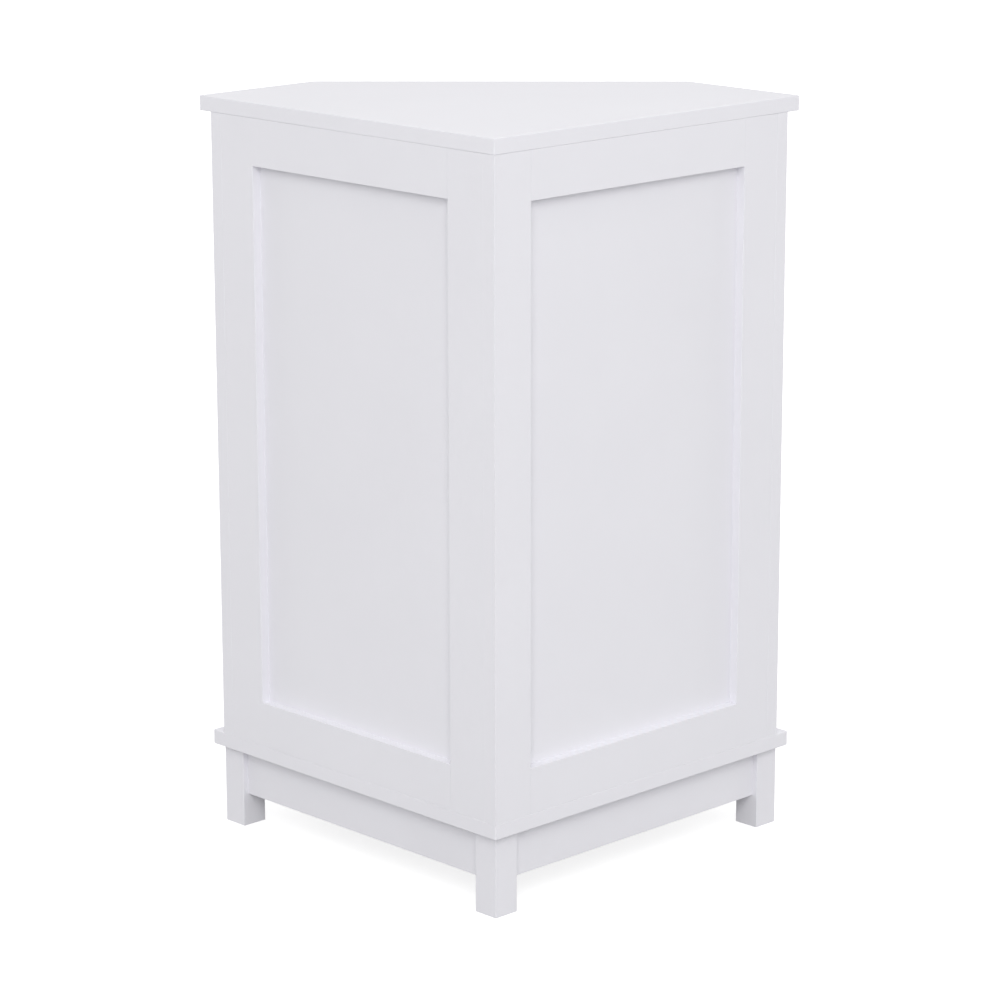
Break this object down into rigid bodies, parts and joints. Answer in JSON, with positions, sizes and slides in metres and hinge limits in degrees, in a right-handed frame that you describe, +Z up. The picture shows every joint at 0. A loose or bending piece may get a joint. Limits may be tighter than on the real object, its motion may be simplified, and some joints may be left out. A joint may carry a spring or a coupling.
{
  "type": "corner cabinet",
  "caption": "White corner storage cabinet with framed panel walls, a diagonal hinged door with a knob and adjustable shelves inside, raised on short square legs.",
  "frame": {"origin": "on the floor, under the middle of the cabinet's bounding box", "axes": "+Z up; -Y out through the door; +Y towards the room corner; +X to the right of someone facing the door"},
  "size_m": [0.627, 0.4436, 0.8],
  "materials": {
    "white_paint": "satin white paint on board",
    "bare_wood": "bare beech",
    "zinc": "bright zinc plating",
    "nickel": "satin nickel",
    "white_plastic": "moulded, matte",
    "ferrite": "sintered, dull",
    "bumper_rubber": "soft and clear"
  },
  "bodies": {
    "cabinet": {"apron_dowels": "bare_wood", "base_panel": "white_paint", "cam_bolts": "zinc", "cam_locks": "zinc", "catch_case": "white_plastic", "catch_magnet": "ferrite", "catch_poles": "zinc", "catch_screws": "zinc", "corner_leg": "white_paint", "door_bumpers": "bumper_rubber", "frame_dowels": "bare_wood", "front_apron": "white_paint", "hinge_frame_screws": "nickel", "hinge_pins": "nickel", "left_end_apron": "white_paint", "left_end_panel": "white_paint", "left_front_leg": "white_paint", "left_wall_apron": "white_paint", "left_wall_bottom_rail": "white_paint", "left_wall_corner_stile": "white_paint", "left_wall_leg": "white_paint", "left_wall_outer_stile": "white_paint", "left_wall_panel": "white_paint", "left_wall_top_rail": "white_paint", "leg_screws": "zinc", "locating_dowels": "bare_wood", "lower_hinge_frame_leaf": "nickel", "lower_shelf_pins": "nickel", "right_end_apron": "white_paint", "right_end_panel": "white_paint", "right_front_leg": "white_paint", "right_wall_apron": "white_paint", "right_wall_bottom_rail": "white_paint", "right_wall_corner_stile": "white_paint", "right_wall_leg": "white_paint", "right_wall_outer_stile": "white_paint", "right_wall_panel": "white_paint", "right_wall_top_rail": "white_paint", "top_panel": "white_paint", "upper_hinge_frame_leaf": "nickel", "upper_shelf_pins": "nickel"},
    "door": {"door_hinge_stile": "white_paint", "door_knob_stile": "white_paint", "door_top_rail": "white_paint", "door_bottom_rail": "white_paint", "door_panel": "white_paint", "door_dowels": "bare_wood", "knob": "nickel", "knob_screw": "nickel", "lower_hinge_door_leaf": "nickel", "upper_hinge_door_leaf": "nickel", "hinge_door_screws": "nickel", "striker_plate": "zinc", "striker_screw": "zinc"},
    "lower_shelf": {"lower_shelf": "white_paint"},
    "upper_shelf": {"upper_shelf": "white_paint"}
  },
  "joints": [
    {"name": "door_hinge", "type": "hinge", "parent": "cabinet", "child": "door", "pos_m": [-0.20643, -0.17905, 0.444], "axis": [0, 0, -1], "range_deg": [0, 150]},
    {"name": "lower_shelf_lift", "type": "slide", "parent": "cabinet", "child": "lower_shelf", "axis": [0, 0, 1], "range_m": [0, 0.03]},
    {"name": "upper_shelf_lift", "type": "slide", "parent": "cabinet", "child": "upper_shelf", "axis": [0, 0, 1], "range_m": [0, 0.03]}
  ]
}
